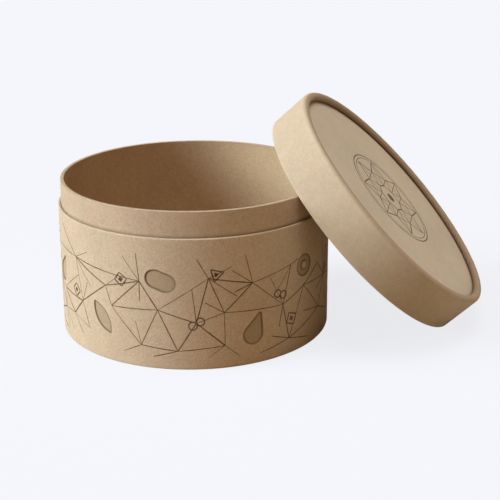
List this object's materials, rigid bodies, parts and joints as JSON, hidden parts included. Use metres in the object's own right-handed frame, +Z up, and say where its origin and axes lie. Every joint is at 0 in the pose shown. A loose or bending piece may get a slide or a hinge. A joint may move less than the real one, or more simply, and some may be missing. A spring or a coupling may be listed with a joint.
{
  "type": "round lidded box",
  "caption": "Round gift box of wound kraft board with a raised neck, and a slip-over lid with a curled edge that leans on its rim.",
  "frame": {"origin": "centre of the box's underside, on the plane it stands on", "axes": "+Z up along the box's own axis; +X towards the lid that leans on the rim, so -Y faces the viewer"},
  "size_m": [0.2792, 0.1767, 0.1458],
  "materials": {
    "printed_wrap": "matt kraft paper, printed with thin dark lines and pressed with small shapes",
    "body_board": "raw wound kraft board",
    "neck_board": "matt kraft paper over wound board",
    "base_board": "raw kraft board",
    "base_paper": "matt kraft paper",
    "liner_paper": "matt kraft paper",
    "lid_board": "matt kraft paper over wound board, its top edge curled in",
    "lid_panel": "matt kraft board, printed with a thin line figure",
    "ring_board": "raw wound kraft board"
  },
  "bodies": {
    "box": {"body_wrap": "printed_wrap", "body_tube": "body_board", "neck_tube": "neck_board", "base_disc": "base_board", "base_sheet": "base_paper", "floor_liner": "liner_paper"},
    "lid": {"lid_tube": "lid_board", "lid_disc": "lid_panel", "lid_ring": "ring_board"}
  },
  "joints": [
    {"name": "lid_lift", "type": "slide", "parent": "box", "child": "lid", "axis": [0, 0, 1], "range_m": [0, 0.12]}
  ]
}
